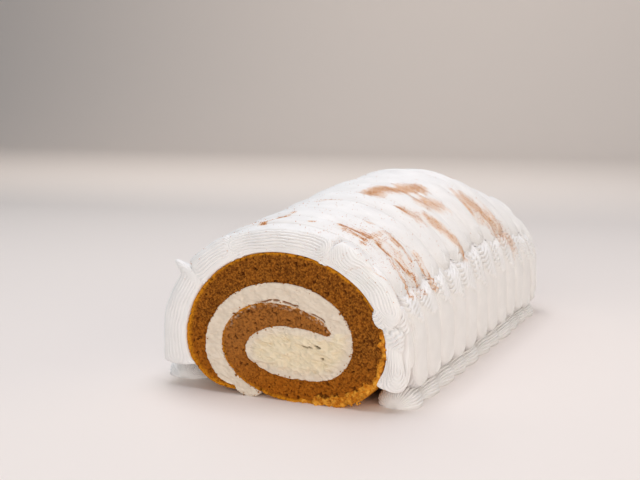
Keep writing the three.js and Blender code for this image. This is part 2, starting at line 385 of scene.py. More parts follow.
# %% Node helpers
class Finish:
    """A material under construction: its node tree, with short ways to add the nodes used here."""

    def __init__(self, name, roughness, specular=0.5):
        self.material = bpy.data.materials.new(name)
        self.material.use_nodes = True
        self.tree = self.material.node_tree
        self.shader = self.tree.nodes["Principled BSDF"]
        self.shader.inputs["Roughness"].default_value = roughness
        self.shader.inputs["Specular IOR Level"].default_value = specular
        self.place = self.tree.nodes.new("ShaderNodeTexCoord").outputs["Object"]

    def field(self, name):
        """The value of a field kept on the vertices."""
        node = self.tree.nodes.new("ShaderNodeAttribute")
        node.attribute_name = name
        return node.outputs["Fac"]

    def cloud(self, size_mm, detail=2.0, roughness=0.5):
        """Noise from 0 to 1 with lumps about size_mm across."""
        node = self.tree.nodes.new("ShaderNodeTexNoise")
        node.inputs["Scale"].default_value = 1 / (size_mm * MM)
        node.inputs["Detail"].default_value = detail
        node.inputs["Roughness"].default_value = roughness
        self.tree.links.new(self.place, node.inputs["Vector"])
        return node.outputs["Fac"]

    def ranged(self, value, start, end, low=0.0, high=1.0):
        """A value from start to end carried to low to high, and held at those."""
        node = self.tree.nodes.new("ShaderNodeMapRange")
        self.tree.links.new(value, node.inputs["Value"])
        for socket, number in zip(("From Min", "From Max", "To Min", "To Max"), (start, end, low, high)):
            node.inputs[socket].default_value = number
        return node.outputs["Result"]

    def multiplied(self, first, second):
        """One value times another."""
        node = self.tree.nodes.new("ShaderNodeMath")
        node.operation = "MULTIPLY"
        for socket, value in zip(node.inputs, (first, second)):
            self.tree.links.new(value, socket)
        return node.outputs["Value"]

    def mixed(self, share, first, second):
        """The first colour turning into the second as share goes from 0 to 1."""
        node = self.tree.nodes.new("ShaderNodeMix")
        node.data_type = "RGBA"
        self.tree.links.new(share, node.inputs["Factor"])
        sockets = [s for s in node.inputs if s.type == "RGBA"]
        for socket, colour in zip(sockets, (first, second)):
            if isinstance(colour, tuple):
                socket.default_value = (*colour, 1)
            else:
                self.tree.links.new(colour, socket)
        return [s for s in node.outputs if s.type == "RGBA"][0]

    def relief(self, height, depth_mm, strength=1.0):
        """Bumps as deep as depth_mm where height goes from 0 to 1."""
        node = self.tree.nodes.new("ShaderNodeBump")
        node.inputs["Distance"].default_value = depth_mm * MM
        node.inputs["Strength"].default_value = strength
        self.tree.links.new(height, node.inputs["Height"])
        self.tree.links.new(node.outputs["Normal"], self.shader.inputs["Normal"])

    def colour(self, value):
        """Sends a colour to the shader."""
        self.tree.links.new(value, self.shader.inputs["Base Color"])


def linear(red, green, blue):
    """A colour given as on a screen, 0 to 255, as the linear light that a shader wants."""
    shares = np.array([red, green, blue]) / 255
    return tuple(np.where(shares <= 0.04045, shares / 12.92, ((shares + 0.055) / 1.055) ** 2.4).tolist())


# %% [markdown]
# The sponge is brown with spice, warmer low on the left and paler in the inner wrap. Its cut face is
# full of pores, with shade painted dark inside them. The baked skin is a thin golden line along the outer
# side, and broad where it has torn and folded outwards. Cream is smeared over the top edge of the inner
# wrap.

# %% The sponge's finish
sponge_finish = Finish("spiced_sponge", 0.9, 0.1)
# Light and dark specks finer than the mesh: partly the crumb's own speckle, partly painted shade in its
# smallest pores.
speckle_and_pore_shade = sponge_finish.ranged(sponge_finish.cloud(1.0, 4.0, 0.7), 0.38, 0.63)
crumb_colour = sponge_finish.mixed(speckle_and_pore_shade, linear(84, 40, 5), linear(172, 108, 36))
crumb_colour = sponge_finish.mixed(
    sponge_finish.ranged(sponge_finish.cloud(11, 2.0), 0.35, 0.7, 0, 0.3),
    crumb_colour, linear(156, 88, 18))
crumb_colour = sponge_finish.mixed(sponge_finish.field("warm"), crumb_colour, linear(176, 98, 14))
crumb_colour = sponge_finish.mixed(sponge_finish.field("inner"), crumb_colour, linear(172, 112, 56))
crumb_colour = sponge_finish.mixed(sponge_finish.field("skin"), crumb_colour, linear(206, 134, 26))
golden_colour = sponge_finish.mixed(
    sponge_finish.ranged(sponge_finish.cloud(1.8, 3.0), 0.35, 0.65),
    linear(190, 112, 22), linear(234, 168, 62))
crumb_colour = sponge_finish.mixed(sponge_finish.field("golden"), crumb_colour, golden_colour)
# Painted shade: dark brown in the pores, by their depth, and in the crack beside the torn skin.
crumb_colour = sponge_finish.mixed(sponge_finish.field("pore"), crumb_colour, linear(74, 32, 3))
crumb_colour = sponge_finish.mixed(sponge_finish.field("smear"), crumb_colour, linear(222, 198, 172))
sponge_finish.colour(crumb_colour)
sponge_finish.relief(sponge_finish.cloud(0.8, 3.0, 0.7), 0.35, 0.9)

# %% [markdown]
# The cream is ivory, a little yellower in the middle of the roll where it is thickest. Its cut
# surface is dragged sideways by the knife, which is in the mesh, so its material only adds grain to
# that. Shade is painted dark into its air holes.

# %% The cream's finish
cream_finish = Finish("ivory_cream", 0.55, 0.35)
cream_colour = cream_finish.mixed(
    cream_finish.ranged(cream_finish.cloud(3.0, 3.0), 0.35, 0.7),
    linear(214, 200, 182), linear(224, 211, 194))
cream_colour = cream_finish.mixed(cream_finish.field("rich"), cream_colour, linear(228, 214, 184))
cream_colour = cream_finish.mixed(cream_finish.field("crumbed"), cream_colour, linear(150, 92, 36))
# Painted shade: the air holes in the cream are coloured dark olive brown inside.
cream_colour = cream_finish.mixed(cream_finish.field("hole_shade"), cream_colour, linear(112, 84, 34))
cream_finish.colour(cream_colour)
cream_finish.relief(cream_finish.cloud(1.2, 3.0, 0.6), 0.2, 0.8)

# %% [markdown]
# The icing is almost pure white, with shade painted a little grey down in its grooves. Cinnamon shows as a
# grainy tint, light brown where there is little of it and dark where there is much, and as loose grains
# made later.

# %% The icing's finish
icing_finish = Finish("white_icing", 0.45, 0.4)
icing_colour = icing_finish.mixed(
    icing_finish.ranged(icing_finish.cloud(9.0, 2.0), 0.35, 0.7),
    linear(230, 228, 227), linear(235, 233, 232))
# Painted shade: the icing turns greyer where it lies below its neighbours, down in its grooves.
icing_colour = icing_finish.mixed(
    icing_finish.ranged(icing_finish.field("groove"), 0.05, 0.5, 0, 0.38),
    icing_colour, linear(203, 198, 194))
grain = icing_finish.ranged(icing_finish.cloud(0.5, 3.0, 0.8), 0.4, 0.62, 0.15, 1.5)
tint = icing_finish.multiplied(icing_finish.field("cinnamon"), grain)
icing_colour = icing_finish.mixed(icing_finish.ranged(tint, 0.0, 0.5), icing_colour, linear(216, 166, 114))
icing_colour = icing_finish.mixed(icing_finish.ranged(tint, 0.5, 1.2), icing_colour, linear(170, 100, 36))
icing_finish.colour(icing_colour)
icing_finish.relief(icing_finish.cloud(0.9, 2.0, 0.6), 0.05, 0.5)

# %% [markdown]
# ## The sponge
# The cut sheet is a tube that follows the spiral. One turn round the tube goes across the front cut
# face, back along the crumb side, across the back cut face and forward along the skin side.
# Only the cut faces need fine points: they hold the pores, each a real pit in the mesh.

# %% The sheet's centre line with rounded ends
SPONGE_STEPS = 1080  # rings along the spiral
NOSE = 9  # further rings that round off each end
OUTER_END = np.array([1.5, 0.3])  # how far the outer end is rounded out, in x and z
FACE_ACROSS, BACK_ACROSS, ALONG = 46, 30, 6  # points across the front and back faces, and between

place, _ = evenly(dense, (dense_skin + dense_crumb) / 2, SPONGE_STEPS)
skin_side, crumb_side = sheet_sides(place)
middle, half = (skin_side + crumb_side) / 2, (skin_side - crumb_side) / 2


def nose(centre, half_width, tip, count):
    """Middles and half widths from a cut end to its tip: the width falls as the cosine of a quarter
    turn while the middle moves by its sine."""
    angle = np.linspace(0, math.pi / 2, count + 1)[1:, None]
    return centre + (tip - centre) * np.sin(angle), half_width * np.cos(angle)


inner_middle, inner_half = nose(middle[-1], half[-1], TIP, NOSE)
outer_middle, outer_half = nose(middle[0], half[0], middle[0] + OUTER_END, NOSE)
middle = np.concatenate([outer_middle[::-1], middle, inner_middle])
half = np.concatenate([outer_half[::-1], half, inner_half])
place = np.concatenate([np.zeros(NOSE), place, np.full(NOSE, LAST + 1.0)])
half_thickness = np.linalg.norm(half, axis=1)
thickness = 2 * half_thickness[:, None]

# %% The torn skin
TORN_PLACES = [2.8, 2.95, 3.35, 3.5, 4.0, 4.6, 5.2]  # along the spiral
TORN_WIDTHS = [0.0, 2.8, 2.4, 6.0, 5.5, 2.6, 0.0]  # how wide the torn strip is at each, in mm
FLAP_FROM, FLAP_FULL = 3.5, 5.0  # widths between which the strip starts to lift off as a flap


def torn(x, z, from_skin):
    """The share of torn golden skin at a place on the cut, and of the crack beside it. The strip's width
    is looked up along the spiral and made ragged by noise. The crack is a bell, exp(-(distance / 0.55)^2),
    on the strip's inner edge, where that has lifted."""
    strip_width = np.interp(place, TORN_PLACES, TORN_WIDTHS)[:, None]
    loose = np.clip(strip_width / 2.5, 0, 1)
    width = strip_width + loose * (1.6 * noise(x / 3, z / 3, 31) + 1.0 * noise(x / 1.1, z / 1.1, 32))
    strip = smooth_step(width - from_skin, 0.0, 0.7) * smooth_step(loose, 0, 0.4)
    flap = smooth_step(strip_width, FLAP_FROM, FLAP_FULL)
    broken = smooth_step(noise(x / 2.5, z / 2.5, 33), -0.6, 0)
    crack = np.exp(-(((from_skin - width) / 0.55) ** 2)) * flap * broken
    return strip, crack


# %% The cut face of the sponge
FRONT_SEED, BACK_SEED = 51, 61


def crumb_pores(x, z, seed):
    """Fine and coarse pores together, each 0 to 1 deep, drawn out of round by noise."""
    bent_x = x + 0.8 * noise(x / 1.3, z / 1.3, seed + 8) + 0.3 * noise(x / 0.5, z / 0.5, seed + 10)
    bent_z = z + 0.8 * noise(x / 1.3, z / 1.3, seed + 9) + 0.3 * noise(x / 0.5, z / 0.5, seed + 11)
    fine = pores(bent_x, bent_z, 1.25, 0.1, 0.5, seed)
    coarse = pores(bent_x, bent_z, 4.2, 0.2, 0.85, seed + 1)
    return fine, coarse


def cut_relief(x, z, across, seed):
    """How far the cut surface lies back from the plane of the cut, in mm: pits, crumbs, rounded edges, and
    the torn skin that stands out in lumps beside its crack."""
    fine, coarse = crumb_pores(x, z, seed)
    lumps = 0.35 * noise(x / 6, z / 6, seed + 2) + 0.34 * noise(x / 0.9, z / 0.9, seed + 3)
    edge = 0.4 * (1 - bead(np.clip(2 * np.abs(across - 0.5) - 0.9, 0, 0.1) * 10))
    strip, crack = torn(x, z, across * thickness)
    standing = strip * (0.3 + 1.1 * noise(x / 2.2, z / 2.2, 35) + 0.5 * noise(x / 0.9, z / 0.9, 36))
    return 0.45 + 0.6 * fine + 0.9 * coarse + lumps + edge - standing + 1.3 * crack


# %% The sponge's section with its uneven sides
across = np.linspace(0, 1, FACE_ACROSS)
back_across = np.linspace(1, 0, BACK_ACROSS)
ring = np.arange(len(place))
wavering = 0.5 * noise(ring / 9, 0.0, 41) + 0.3 * noise(ring / 3, 0.0, 42)
crumb_reach = 1 + 0.35 * wavering / np.maximum(half_thickness, 1.0)
jagged = np.interp(place, TORN_PLACES, np.minimum(TORN_WIDTHS, 2.5)) * noise(ring / 4, 0.0, 43)
skin_reach = 1 + 0.3 * jagged / np.maximum(half_thickness, 3.0)


def section_point(share):
    """x and z of a place across the sheet, middle + (1 - 2 share) * half: the skin side at share 0 and the
    crumb side at share 1, each with its own unevenness, and never below the plate."""
    reach = 1 - 2 * share
    reach = reach * np.where(reach < 0, crumb_reach[:, None], skin_reach[:, None])
    flat = middle[:, None, :] + half[:, None, :] * reach[..., None]
    return flat[..., 0], np.maximum(flat[..., 1], 0)


def between_cuts(inset):
    """y of the points along a wall from cut face to cut face, which starts inset behind each."""
    return inset + (ROLL_LENGTH - 2 * inset) * np.linspace(0, 1, ALONG + 2)[1:-1]


front_x, front_z = section_point(np.broadcast_to(across, (len(place), FACE_ACROSS)))
back_x, back_z = section_point(np.broadcast_to(back_across, (len(place), BACK_ACROSS)))
side_y = between_cuts(1.0)
sponge_points, sponge_triangles = tube(np.concatenate([
    raised(front_x, cut_relief(front_x, front_z, across, FRONT_SEED), front_z),
    raised(front_x[:, -1:], side_y, front_z[:, -1:]),
    raised(back_x, ROLL_LENGTH - cut_relief(back_x, back_z, back_across, BACK_SEED), back_z),
    raised(back_x[:, -1:], side_y[::-1], back_z[:, -1:]),
], axis=1))

# %% Colour fields of the sponge
SKIN_PLACES = [0.0, 0.5, 1.2, 1.8, 2.8, 4.2, 5.0, 5.6, 7.0]  # along the spiral
SKIN_BREADTHS = [4.5, 5.0, 3.6, 1.4, 1.2, 2.2, 2.4, 1.8, 0.8]  # how broad the skin shows at each, in mm
SPONGE_FIELDS = ("pore", "skin", "golden", "inner", "smear", "warm")
ON_SKIN_WALL = {"skin": 1.0, "golden": 0.25}  # the fields that the long skin side has
wall = np.zeros((len(place), ALONG))


def sponge_fields(x, z, share, seed):
    """The fields named above on a cut face: pore depth, which with the crack beside the torn skin sets
    painted shade, nearness to the skin, torn golden skin, inner wrap, smeared cream, and the warmer brown
    low on the left."""
    fine, coarse = crumb_pores(x, z, seed)
    from_skin = share * thickness
    broad = np.interp(place, SKIN_PLACES, SKIN_BREADTHS)[:, None]
    skin_edge = from_skin + 0.5 * noise(x / 2, z / 2, seed + 5)
    skin = 0.85 * (1 - smooth_step(skin_edge / broad, 0.2, 1.0))
    golden, crack = torn(x, z, from_skin)
    # The pore field carries painted shade: its pits and the crack beside the torn skin are coloured dark.
    pore = np.clip(0.55 * fine + 0.8 * coarse * smooth_step(coarse, 0.1, 0.8), 0, 1)
    pore = np.maximum(pore * (1 - 0.75 * golden), 0.85 * crack)
    inner = smooth_step(np.broadcast_to(place[:, None], x.shape), 5.2, 6.2)
    patches = noise(x / 1.1, z / 0.8, seed + 6) + 0.6 * noise(x / 0.5, z / 0.5, seed + 7)
    by_skin = 1 - smooth_step(from_skin, 0.4, 3.6)
    smear = 0.75 * inner * smooth_step(patches, 0.0, 0.8) * smooth_step(z, 27, 36) * by_skin
    warm = 0.55 * smooth_step(26 - z, 0, 26) + 0.35 * smooth_step(-x, 30, 50) * smooth_step(50 - z, 0, 30)
    return pore, skin, golden, inner * 0.55, smear, np.clip(warm, 0, 1)


def ringed(name, front_field, back_field):
    """A field for every vertex of the sponge, in the order of its rings and then of its two lids."""
    whole = np.concatenate([front_field, wall, back_field, wall + ON_SKIN_WALL.get(name, 0)], axis=1)
    return np.concatenate([whole.ravel(), whole[:1].mean(1), whole[-1:].mean(1)])


front_fields = dict(zip(SPONGE_FIELDS, sponge_fields(front_x, front_z, across, FRONT_SEED)))
back_fields = dict(zip(SPONGE_FIELDS, sponge_fields(back_x, back_z, back_across, BACK_SEED)))
sponge_layers = {name: ringed(name, front_fields[name], back_fields[name]) for name in SPONGE_FIELDS}
finished("sponge_sheet", sponge_points, sponge_triangles, sponge_finish.material, ["sponge_roll"],
         sponge_layers)

# %% [markdown]
# ## The cream
# The cream fills what the sheet leaves free: a band between the two wraps that opens into a plump
# middle. Its outer line is the sheet's crumb side all the way. Its inner line first follows the
# skin of the inner wrap to the sheet's tip. From there the middle is filled by going out along a
# line through its heart and back again, so that the two halves meet on that line and weld into one.

# %% The lines that bound the cream
OVERLAP = 0.35  # how far the cream's edge reaches into the open crumb
BAND_STEPS, HEART_STEPS = 520, 190  # rings along the band, and along each side of the heart line
CREAM_ACROSS, CREAM_BACK = 37, 20
MOUTH_PLACE, BAND_END = 5.3, 2.85  # where the cream leaves the inner wrap, and where the band opens


def pushed(corners, distance):
    """Each furthest point moved outwards in its own direction, which gives the parallel spiral."""
    outwards = {"B": (0, -1), "L": (-1, 0), "T": (0, 1), "R": (1, 0)}
    return [tuple(np.add(corner, np.multiply(outwards[turn], distance)))
            for corner, turn in zip(corners, TURNS)]


def bend(start, control, end, count):
    """A quadratic curve: (1-t)^2 start + 2t(1-t) control + t^2 end."""
    t = np.linspace(0, 1, count)[:, None]
    return (1 - t) ** 2 * np.array(start) + 2 * t * (1 - t) * np.array(control) + t**2 * np.array(end)


def respaced(points, count):
    """The same line with its points at equal distances."""
    share = np.arange(len(points), dtype=float)
    even, _ = evenly(share, points, count)
    return np.stack([np.interp(even, share, points[:, k]) for k in range(2)], axis=-1)


CREAM_EDGE, INNER_SKIN = pushed(CRUMB, OVERLAP), pushed(SKIN, -0.2)
MOUTH_FOOT = (-16.5, 0.0)  # the lowest point of the cream that has sunk out below the outer wrap
HEART_END = (-9, 22.5)  # the far end of the line through the cream's heart
mouth_top = spiral(INNER_SKIN, np.array([MOUTH_PLACE]))[0]
mouth_outer = bend(MOUTH_FOOT, (-23.5, 0.0), CREAM_EDGE[0], 30)
mouth_inner = bend(MOUTH_FOOT, (-12.5, -0.4), mouth_top, 20)
tip_point = TIP + np.array([-0.3, 0.0])

outer_band = np.concatenate([mouth_outer, spiral(CREAM_EDGE, np.linspace(0.01, BAND_END, 900))])
inner_wrap = spiral(INNER_SKIN, np.linspace(MOUTH_PLACE + 0.01, LAST + SKIN_STOP, 700))
inner_band = np.concatenate([mouth_inner, inner_wrap, tip_point[None]])
heart = respaced(bend(tip_point, (22, 20), HEART_END, 200), HEART_STEPS)
outer_right = spiral(CREAM_EDGE, np.linspace(BAND_END, 6, 600))
outer_left = np.concatenate([spiral(CREAM_EDGE, np.linspace(6, LAST + CRUMB_STOP, 400)), tip_point[None]])
outer_line = np.concatenate([
    respaced(outer_band, BAND_STEPS),
    respaced(outer_right, HEART_STEPS)[1:],
    respaced(outer_left, HEART_STEPS)[1:],
])
inner_line = np.concatenate([respaced(inner_band, BAND_STEPS), heart[1:], heart[::-1][1:]])
in_band = (np.arange(len(outer_line)) < BAND_STEPS)[:, None]
HEART_RINGS = slice(BAND_STEPS - 1, None)  # reversed: each ring's neighbour across the heart line

# %% The cut face of the cream
HOLES = [  # x and z of the middle, half width, half height
    (12.0, 26.6, 1.9, 0.55), (14.6, 26.5, 1.0, 0.5), (18.3, 27.0, 1.8, 0.75), (20.4, 21.5, 0.7, 0.5)]
SPLITS = [(-13.5, 9.5), (14.0, 24.0)]  # stretches of x over which the cream has parted from the inner wrap
SPLIT_HALF = 0.6  # half the width of that gap


def holes(x, z):
    """1 in an air hole and 0 outside it: 1 - (dx / half width)^2 - (dz / half height)^2, with a ragged
    rim. The holes slant down to the right, as the knife dragged them."""
    deepest = np.full(np.shape(x), -1.0)
    for at_x, at_z, wide, tall in HOLES:
        level = z - at_z + 0.25 * (x - at_x)
        deepest = np.maximum(deepest, 1 - ((x - at_x) / wide) ** 2 - (level / tall) ** 2)
    return smooth_step(deepest + 0.3 * noise(x * 1.5, z * 1.5, 71), 0.05, 0.5)


def split(x, z, from_skin):
    """1 along the ragged gap, a little over a millimetre wide, just outside the top of the inner wrap:
    1 - (distance from its middle / half width)^2."""
    middle_line = 1.3 + 0.7 * noise(x / 3, 0.0, 72)
    here = np.clip(1 - ((from_skin - middle_line) / SPLIT_HALF) ** 2, 0, 1) * (z > 34)
    along = sum(
        smooth_step(x, start, start + 2) * (1 - smooth_step(x, end - 2, end)) for start, end in SPLITS)
    return here * along * smooth_step(noise(x / 1.6, z / 1.6, 73), -0.75, -0.2)


def cream_relief(x, z, seed):
    """Drag marks of the knife: noise stretched sideways at three sizes, with creases where it crosses 0."""
    slant = z + 0.22 * x
    broad = noise(x / 8, slant / 2.6, seed)
    crease = 1 - smooth_step(np.abs(broad), 0.0, 0.22)
    small = 0.5 * noise(x / 2.8, slant / 1.2, seed + 1) + 0.3 * noise(x / 1.3, slant / 0.9, seed + 2)
    return 0.5 * broad + small + 0.38 * crease * smooth_step(noise(x / 3, z / 3, seed + 7), -0.2, 0.4)


def cream_face(share, seed):
    """x, z, distance back and colour fields of a cut face of the cream, across it from outer to inner line.
    Near the heart line the distance from the crumb turns into the smaller of its two sides', so that both
    sides are equally deep on that line and weld."""
    flat = outer_line[:, None, :] * (1 - share[..., None]) + inner_line[:, None, :] * share[..., None]
    x, z = flat[..., 0], flat[..., 1]
    width = np.linalg.norm(outer_line - inner_line, axis=1)[:, None]
    room = width.copy()
    room[HEART_RINGS] = np.minimum(width[HEART_RINGS], width[HEART_RINGS][::-1])
    near_heart = np.where(in_band, 0.0, smooth_step(share, 0.6, 1.0))
    from_crumb = share * width * (1 - near_heart) + room * near_heart
    from_skin = np.where(in_band, (1 - share) * width, 99.0)
    edge = np.minimum(from_crumb, from_skin) + 0.35 * noise(x / 1.2, z / 1.2, seed + 4)
    sunk = 0.6 * (1 - bead(1 - np.clip(edge, 0, 0.8) / 0.8))
    gap, hole = split(x, z, from_skin), holes(x, z)
    loose = np.where(in_band, 0.8, 0.8 + 0.9 * smooth_step(from_crumb, 0.5, 4))
    back = 0.1 + sunk + loose * cream_relief(x, z, seed) + 1.6 * gap + 3.2 * hole
    rich = np.where(in_band, 0.0, smooth_step(from_crumb, 1, 7)) * 0.8
    crumbed = np.maximum(gap, 0.5 * smooth_step(pores(x, z, 15.0, 0.2, 0.45, seed + 6), 0.5, 0.9))
    return x, z, back, {"rich": rich, "crumbed": crumbed, "hole_shade": hole}


front_share = np.broadcast_to(np.linspace(0, 1, CREAM_ACROSS), (len(outer_line), CREAM_ACROSS))
back_share = np.broadcast_to(np.linspace(1, 0, CREAM_BACK), (len(outer_line), CREAM_BACK))
near_x, near_z, near_back, near_fields = cream_face(front_share, 81)
far_x, far_z, far_back, far_fields = cream_face(back_share, 91)
cream_side_y = between_cuts(6)
cream_rings = np.concatenate([
    raised(near_x, near_back, near_z),
    raised(near_x[:, -1:], cream_side_y, near_z[:, -1:]),
    raised(far_x, ROLL_LENGTH - far_back, far_z),
    raised(far_x[:, -1:], cream_side_y[::-1], far_z[:, -1:]),
], axis=1)

# %% Its mesh, without a wall inside the heart
cream_rows, cream_columns = cream_rings.shape[:2]
cells = grid_triangles(cream_rows, cream_columns, True).reshape(cream_rows - 1, cream_columns, 2, 3)
kept_cells = np.ones(cells.shape[:2], bool)
kept_cells[BAND_STEPS - 1:, CREAM_ACROSS - 1:CREAM_ACROSS + ALONG] = False
cream_wall = np.zeros((cream_rows, ALONG))
cream_layers = {
    name: np.concatenate([near_fields[name], cream_wall, far_fields[name], cream_wall], axis=1)
    for name in near_fields
}
finished("cream_filling", cream_rings.reshape(-1, 3), cells[kept_cells].reshape(-1, 3),
         cream_finish.material, ["cream_filling"], cream_layers)

# %% [markdown]
# ## The coat of icing
# The icing is thick strokes piped side by side. To place anything on it, two arches are enough: the
# inside of the icing, which is the sponge's outer wrap, and the outside. A table of both, walked from
# the right foot over the top to the left foot, gives for every distance round the coat a point on the
# inside, a direction straight out, and the icing's thickness.

# %% Round the coat
COAT = ((59.5, 27), (-2, 81.5), (-65.5, 25))  # furthest right, highest, furthest left, in x and z
RIM = ((60.5, 27), (-1, 80.5), (-66.5, 25))  # the same for the strokes round the cut faces
INSIDE = ((51.3, 27), (-2, 69.3), (-51.3, 25))  # and for the sponge under them
RIGHT_CURL, LEFT_CURL = (27, 27), (26, 22.5)  # how far in and how far down the roll's underside curls


def arch(corners, degrees):
    """Points at angles round an arch: an ellipse about (top x, side z), with upright walls below."""
    (right_x, right_z), (top_x, top_z), (left_x, left_z) = corners
    on_right = degrees < 90
    half_width = np.where(on_right, right_x, left_x) - top_x
    side_z = np.where(on_right, right_z, left_z)
    angle = np.radians(degrees)
    radius = 1 / np.hypot(np.cos(angle) / half_width, np.sin(angle) / (top_z - side_z))
    below = np.sin(angle) < 0
    x = np.where(below, top_x + half_width, top_x + radius * np.cos(angle))
    z = np.where(below, side_z + half_width * np.tan(angle), side_z + radius * np.sin(angle))
    return np.stack([x, z], axis=-1)


degrees_round = np.linspace(-23, 200.5, 1500)
coat_line, rim_line, inside_line = (arch(corners, degrees_round) for corners in (COAT, RIM, INSIDE))
for below, (side_x, side_z), (inwards, down) in (
        (degrees_round < 0, INSIDE[0], RIGHT_CURL), (degrees_round > 180, INSIDE[2], LEFT_CURL)):
    sunk = np.clip((inside_line[:, 1] - side_z) / down, -1, 0)
    curled = side_x - math.copysign(inwards, side_x) * (1 - np.sqrt(1 - sunk**2))
    inside_line[:, 0] = np.where(below, curled, inside_line[:, 0])
round_coat = np.concatenate([[0], np.cumsum(np.linalg.norm(np.diff(coat_line, axis=0), axis=1))])
out_line = coat_line - inside_line
coat_thickness = np.linalg.norm(out_line, axis=1)
rim_thickness = np.linalg.norm(rim_line - inside_line, axis=1)
out_line = out_line / coat_thickness[:, None]
print(f"Over the coat from foot to foot: {round_coat[-1]:.0f} mm")


def round_at(degrees):
    """The distance round the coat at an angle."""
    return np.interp(degrees, degrees_round, round_coat)


def on_roll(around, y, height):
    """Points a distance round the coat and along the roll, at a height straight out from the icing's
    inside: inside + height * out, both looked up in the table."""
    around, y, height = np.broadcast_arrays(around, y, height)
    x, z = (np.interp(around, round_coat, inside_line[:, axis])
            + height * np.interp(around, round_coat, out_line[:, axis]) for axis in (0, 1))
    return raised(x, y, z)


# %% [markdown]
# Cinnamon lies in streaks that follow the strokes, broken into lines as close as the ridges, with
# softer clouds further back. Each streak is named by two ends, given as degrees round the coat and
# millimetres along the roll, and by its half width and strength.

# %% Where the cinnamon lies
STREAKS = [  # (degrees, y) to (degrees, y), half width, strength
    ((67.5, 25), (56, 29), 2.4, 1.3),
    ((65, 21), (54, 21), 2.2, 1.3),
    ((66, 23), (55, 25), 4.0, 0.6),
    ((52.5, 16), (54.5, 27), 1.9, 1.1),
    ((54.5, 27), (52, 43), 2.2, 1.1),
    ((50, 42.5), (34.5, 41), 2.8, 1.15),
    ((51, 32), (46, 26.5), 2.0, 1.1),
    ((46, 26.5), (31, 30), 2.2, 1.15),
    ((31, 30), (20, 36), 2.2, 1.1),
    ((39, 22), (21.5, 20.5), 1.9, 0.85),
    ((36, 49.5), (18.5, 50.5), 2.8, 0.75),
    ((50, 30), (26, 32), 9.0, 0.3),
    ((46, 0.5), (24.5, 7.5), 0.4, 0.45),
    ((61.5, 43.5), (60, 45), 1.7, 0.5),
    ((79, 90), (64, 129), 4.4, 0.75),
    ((60, 83.5), (57.5, 84), 2.4, 0.95),
    ((57.5, 85), (50, 88), 4.5, 0.3),
    ((57, 110), (50, 122), 5.0, 0.45),
    ((46, 98), (24, 106), 3.4, 0.48),
    ((43, 162), (31, 175), 8.0, 0.5),
    ((24, 186), (18, 199), 6.0, 0.35),
    ((120, 22), (104, 15), 1.7, 0.8),
    ((103, 13), (99, 24), 2.2, 1.1),
    ((99, 24), (96, 32), 1.6, 0.6),
    ((128, 33), (134, 40), 3.0, 0.6),
    ((81, 16), (78.5, 19), 1.3, 0.9),
    ((94, 62), (90, 66), 2.4, 0.5),
    ((134, 90), (127, 112), 4.0, 0.5),
    ((130, 150), (120, 176), 6.0, 0.6),
    ((84, 196), (74, 214), 5.0, 0.5),
]
CLOUDS_FROM = 60  # distance behind the front cut face at which the streaks turn into clouds


def cinnamon(around, y):
    """How much cinnamon lies at a place, from 0 up: the most of the streaks, each its strength times
    1 - smooth_step(distance from the line between its ends), with an edge bent by noise and softer beyond
    CLOUDS_FROM. That is broken into lines round the coat, fully in front and less from there on."""
    most = np.zeros(np.broadcast(around, y).shape)
    blur = noise(around / 4, y / 3, 103)
    for (from_degrees, from_y), (to_degrees, to_y), half_width, strength in STREAKS:
        soft = 1.25 if from_y < CLOUDS_FROM else 1.9
        start = np.array([round_at(from_degrees), from_y])
        step = np.array([round_at(to_degrees), to_y]) - start
        share = np.clip(((around - start[0]) * step[0] + (y - start[1]) * step[1]) / (step @ step), 0, 1)
        away = np.hypot(around - start[0] - share * step[0], y - start[1] - share * step[1])
        covered = 1 - smooth_step(away + 0.5 * half_width * blur, 0.0, soft * half_width)
        most = np.maximum(most, strength * covered)
    wavy = noise(around / 9, y / 0.8, 101) + 0.45 * noise(around / 1.6, y / 0.8, 102)
    lines = smooth_step(wavy, -0.4, 0.4)
    clouded = 0.15 + 0.55 * smooth_step(y, CLOUDS_FROM, CLOUDS_FROM + 30)
    return most * (clouded + (1 - clouded) * lines)


# %% [markdown]
# ## A piped stroke
# Every stroke is one tube. Across it runs w from -1 at its near seam to 1 at its far one, along it the
# distance round the coat. Its two ends may be curved lines of their own, so a stroke can end in a round
# lobe. Near an end its height comes down like a quarter circle. The nozzle's teeth leave ridges, and
# their pattern is one number, the phase: lines of equal phase are the ridges. The ridges are pushed
# out of the finished body along its own normal, so that they stand as high on a steep flank as on top.


# %% The stroke as a tube
SUNK = -0.3  # a stroke's underside, sunk a little into the sponge
HANGING = 6.0  # length over which a stroke that sags hangs down at its start
icing_tops = []  # rows of x, y, z, the three parts of outwards, area and cinnamon, one for each top point


def end_drop(distance, radius):
    """0 at an end, 1 from radius on, round in between: sqrt(1 - (1 - d / radius)^2)."""
    return bead(1 - np.clip(distance / radius, 0, 1))


def end_spacing(count, length, radius, tall):
    """Shares of a stroke's length at equal distances over its surface, which stands tall and comes down
    like a quarter circle at both ends."""
    distance = np.linspace(0, length, 2000)
    profile = tall * end_drop(distance, radius) * end_drop(length - distance, radius)
    walked = np.concatenate([[0], np.cumsum(np.hypot(np.diff(distance), np.diff(profile)))])
    return np.interp(np.linspace(0, walked[-1], count), walked, distance) / length


def pushed_out(points, outwards, distance):
    """A grid of points moved straight out of their own surface. Its normal is the cross product of the
    steps along and across the grid, turned to the side where outwards points."""
    normal = np.cross(np.gradient(points, axis=0), np.gradient(points, axis=1))
    normal /= np.maximum(np.linalg.norm(normal, axis=-1, keepdims=True), 1e-6)
    facing = np.sign((normal * outwards).sum())
    return points + facing * normal * distance[..., None]


